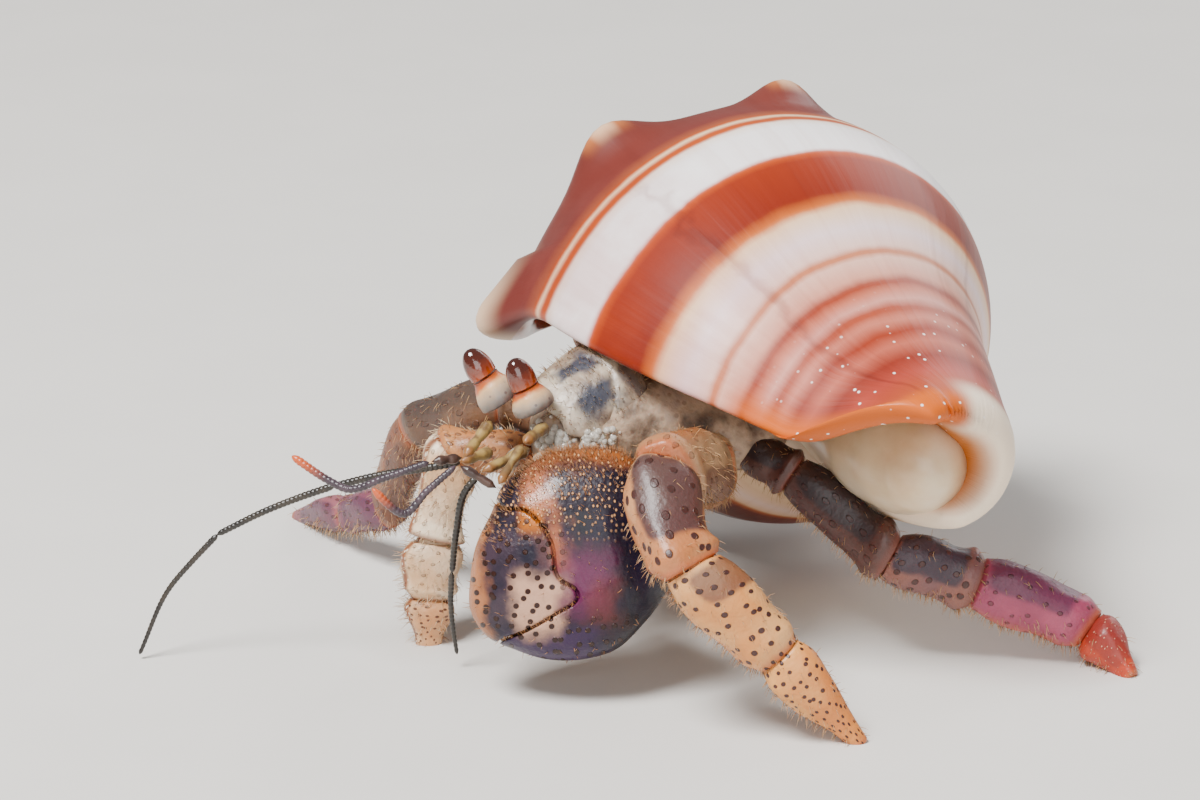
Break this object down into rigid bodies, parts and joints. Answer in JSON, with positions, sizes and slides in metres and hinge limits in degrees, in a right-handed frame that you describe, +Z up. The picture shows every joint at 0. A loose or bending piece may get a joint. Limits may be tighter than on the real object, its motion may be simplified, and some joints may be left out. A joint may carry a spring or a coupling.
{
  "type": "hermit crab in a sea snail shell",
  "caption": "Still life-size land hermit crab walking in a worn, knobbed and banded sea snail shell, with its big left claw held low.",
  "frame": {"origin": "middle of the bounding box, on the floor that the feet stand on", "axes": "+Z up; the animal faces -Y and its left side is +X; the shell's apex points to -X"},
  "size_m": [0.0784, 0.0831, 0.0439],
  "materials": {
    "shell": "glossy, rust and white bands",
    "carapace": "satin horn with grey patches and short hair",
    "soft_skin": "damp mottled grey brown skin",
    "leg_armour": "satin horn, orange and purple with dark dots",
    "far_leg_armour": "satin horn, tan and mauve",
    "big_claw": "satin horn, violet with beads and dark dots",
    "small_claw": "satin horn, cream and amber",
    "eye": "wet gloss, dark amber",
    "eye_stalk": "satin, cream with an orange ring",
    "feeler": "dark ringed horn with orange tips"
  },
  "bodies": {
    "root": {"shell": "shell", "shield": "carapace", "thorax": "soft_skin", "abdomen": "soft_skin", "leg_left_2_ischium": "leg_armour", "leg_left_2_merus": "leg_armour", "leg_left_2_carpus": "leg_armour", "leg_left_2_propodus": "leg_armour", "leg_left_2_dactyl": "leg_armour", "leg_left_3_ischium": "leg_armour", "leg_left_3_merus": "leg_armour", "leg_left_3_carpus": "leg_armour", "leg_left_3_propodus": "leg_armour", "leg_left_3_dactyl": "leg_armour", "leg_right_2_ischium": "far_leg_armour", "leg_right_2_merus": "far_leg_armour", "leg_right_2_carpus": "far_leg_armour", "leg_right_2_propodus": "far_leg_armour", "leg_right_2_dactyl": "far_leg_armour", "leg_right_3_ischium": "far_leg_armour", "leg_right_3_merus": "far_leg_armour", "leg_right_3_carpus": "far_leg_armour", "leg_right_3_propodus": "far_leg_armour", "leg_right_3_dactyl": "far_leg_armour", "claw_left_merus": "big_claw", "claw_left_carpus": "big_claw", "claw_right_merus": "small_claw", "claw_right_carpus": "small_claw", "claw_left_palm": "big_claw", "claw_left_finger": "big_claw", "claw_right_palm": "small_claw", "claw_right_fingers": "small_claw", "eyestalk_left": "eye_stalk", "cornea_left": "eye", "eyestalk_right": "eye_stalk", "cornea_right": "eye", "antennule_left_base": "feeler", "antennule_left_middle": "feeler", "antennule_left_end": "feeler", "antennule_left_lash": "feeler", "antennule_right_base": "feeler", "antennule_right_middle": "feeler", "antennule_right_lash": "feeler", "antenna_right_base": "feeler", "antenna_right_lash_1": "feeler", "antenna_right_lash_2": "feeler", "antenna_right_lash_3": "feeler", "antenna_left_base": "feeler", "antenna_left_lash_1": "feeler", "antenna_left_lash_2": "feeler", "maxilliped_left": "soft_skin", "maxilliped_right": "soft_skin"}
  },
  "joints": []
}
